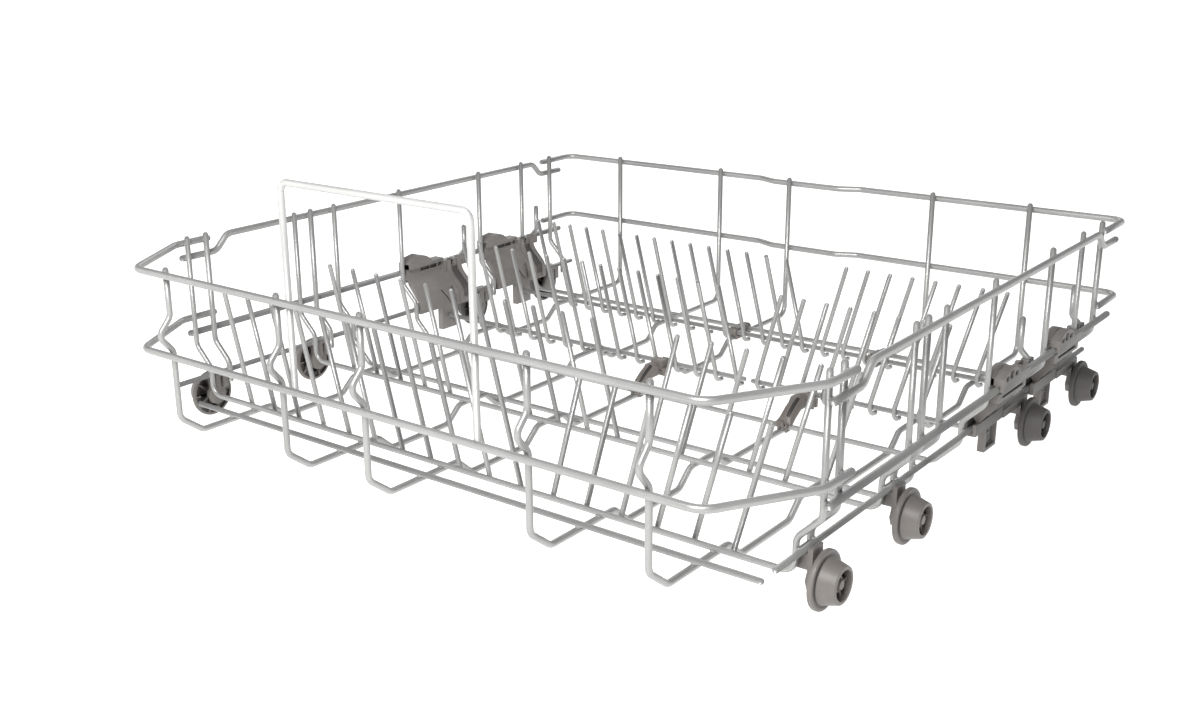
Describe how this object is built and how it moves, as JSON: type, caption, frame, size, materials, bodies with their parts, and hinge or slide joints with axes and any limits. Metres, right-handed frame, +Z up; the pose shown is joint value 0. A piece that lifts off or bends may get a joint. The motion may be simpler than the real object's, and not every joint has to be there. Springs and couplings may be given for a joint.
{
  "type": "dishwasher basket",
  "caption": "Lower dishwasher basket of coated wire with a handle hoop, leaning tine rows, folding tine racks and flanged wheels on moulded carriers.",
  "frame": {"origin": "middle of the footprint, on the plane the wheels stand on", "axes": "+X to the right seen from the handle side, +Y from the handle to the rear, +Z up"},
  "size_m": [0.512, 0.5106, 0.2001],
  "materials": {
    "coated_wire": "satin nylon coating",
    "handle": "satin nylon coating",
    "front_running_gear": "moulded, satin",
    "rear_running_gear": "moulded, satin",
    "clips": "moulded, satin"
  },
  "bodies": {
    "basket": {"first_row_tines": "coated_wire", "first_row_wire": "coated_wire", "floor_wire_1": "coated_wire", "floor_wire_2": "coated_wire", "floor_wire_3": "coated_wire", "floor_wire_4": "coated_wire", "floor_wire_5": "coated_wire", "front_cross_wire": "coated_wire", "front_groove_wire": "coated_wire", "front_left_rod_clip": "clips", "front_mid_rim": "coated_wire", "front_right_rod_clip": "clips", "front_top_rim": "coated_wire", "handle_hoop": "handle", "left_front_carrier": "rear_running_gear", "left_lower_side_wire": "coated_wire", "left_mid_side_wire": "coated_wire", "left_rear_carrier": "rear_running_gear", "left_side_pins": "coated_wire", "left_stub_uprights": "coated_wire", "left_top_side_rim": "coated_wire", "left_wheel_holder_1": "front_running_gear", "left_wheel_holder_2": "front_running_gear", "rear_cross_wire": "coated_wire", "rear_groove_wire": "coated_wire", "rear_left_rod_clip": "clips", "rear_mid_rim": "coated_wire", "rear_right_rod_clip": "clips", "rear_top_rim": "coated_wire", "right_front_carrier": "rear_running_gear", "right_lower_side_wire": "coated_wire", "right_mid_side_wire": "coated_wire", "right_rear_carrier": "rear_running_gear", "right_side_pins": "coated_wire", "right_stub_uprights": "coated_wire", "right_top_side_rim": "coated_wire", "right_wheel_holder_1": "front_running_gear", "right_wheel_holder_2": "front_running_gear", "second_row_tines": "coated_wire", "second_row_wire": "coated_wire"},
    "front_left_rack": {"front_left_rack_rod": "coated_wire", "front_left_rack_tines": "coated_wire"},
    "front_right_rack": {"front_right_rack_rod": "coated_wire", "front_right_rack_tines": "coated_wire"},
    "left_wheel_1_body": {"left_wheel_1": "front_running_gear"},
    "left_wheel_2_body": {"left_wheel_2": "front_running_gear"},
    "left_wheel_3_body": {"left_wheel_3": "rear_running_gear"},
    "left_wheel_4_body": {"left_wheel_4": "rear_running_gear"},
    "rear_left_rack": {"rear_left_rack_rod": "coated_wire", "rear_left_rack_tines": "coated_wire"},
    "rear_right_rack": {"rear_right_rack_rod": "coated_wire", "rear_right_rack_tines": "coated_wire"},
    "right_wheel_1_body": {"right_wheel_1": "front_running_gear"},
    "right_wheel_2_body": {"right_wheel_2": "front_running_gear"},
    "right_wheel_3_body": {"right_wheel_3": "rear_running_gear"},
    "right_wheel_4_body": {"right_wheel_4": "rear_running_gear"}
  },
  "joints": [
    {"name": "left_wheel_1_spin", "type": "hinge", "parent": "basket", "child": "left_wheel_1_body", "pos_m": [-0.2446, -0.17695, 0.0165], "axis": [1, 0, 0], "continuous": true},
    {"name": "left_wheel_2_spin", "type": "hinge", "parent": "basket", "child": "left_wheel_2_body", "pos_m": [-0.2446, -0.07955, 0.0165], "axis": [1, 0, 0], "continuous": true},
    {"name": "left_wheel_3_spin", "type": "hinge", "parent": "basket", "child": "left_wheel_3_body", "pos_m": [-0.2446, 0.10765, 0.0165], "axis": [1, 0, 0], "continuous": true},
    {"name": "left_wheel_4_spin", "type": "hinge", "parent": "basket", "child": "left_wheel_4_body", "pos_m": [-0.2446, 0.20485, 0.0165], "axis": [1, 0, 0], "continuous": true},
    {"name": "right_wheel_1_spin", "type": "hinge", "parent": "basket", "child": "right_wheel_1_body", "pos_m": [0.2446, -0.17695, 0.0165], "axis": [1, 0, 0], "continuous": true},
    {"name": "right_wheel_2_spin", "type": "hinge", "parent": "basket", "child": "right_wheel_2_body", "pos_m": [0.2446, -0.07955, 0.0165], "axis": [1, 0, 0], "continuous": true},
    {"name": "right_wheel_3_spin", "type": "hinge", "parent": "basket", "child": "right_wheel_3_body", "pos_m": [0.2446, 0.10765, 0.0165], "axis": [1, 0, 0], "continuous": true},
    {"name": "right_wheel_4_spin", "type": "hinge", "parent": "basket", "child": "right_wheel_4_body", "pos_m": [0.2446, 0.20485, 0.0165], "axis": [1, 0, 0], "continuous": true},
    {"name": "front_left_rack_fold", "type": "hinge", "parent": "basket", "child": "front_left_rack", "pos_m": [-0.0896, 0.06265, 0.0206], "axis": [-1, 0, 0], "range_deg": [0, 80]},
    {"name": "front_right_rack_fold", "type": "hinge", "parent": "basket", "child": "front_right_rack", "pos_m": [0.1476, 0.06265, 0.0206], "axis": [-1, 0, 0], "range_deg": [0, 80]},
    {"name": "rear_left_rack_fold", "type": "hinge", "parent": "basket", "child": "rear_left_rack", "pos_m": [-0.1246, 0.15985, 0.0206], "axis": [-1, 0, 0], "range_deg": [0, 80]},
    {"name": "rear_right_rack_fold", "type": "hinge", "parent": "basket", "child": "rear_right_rack", "pos_m": [0.1111, 0.15985, 0.0206], "axis": [-1, 0, 0], "range_deg": [0, 80]}
  ]
}
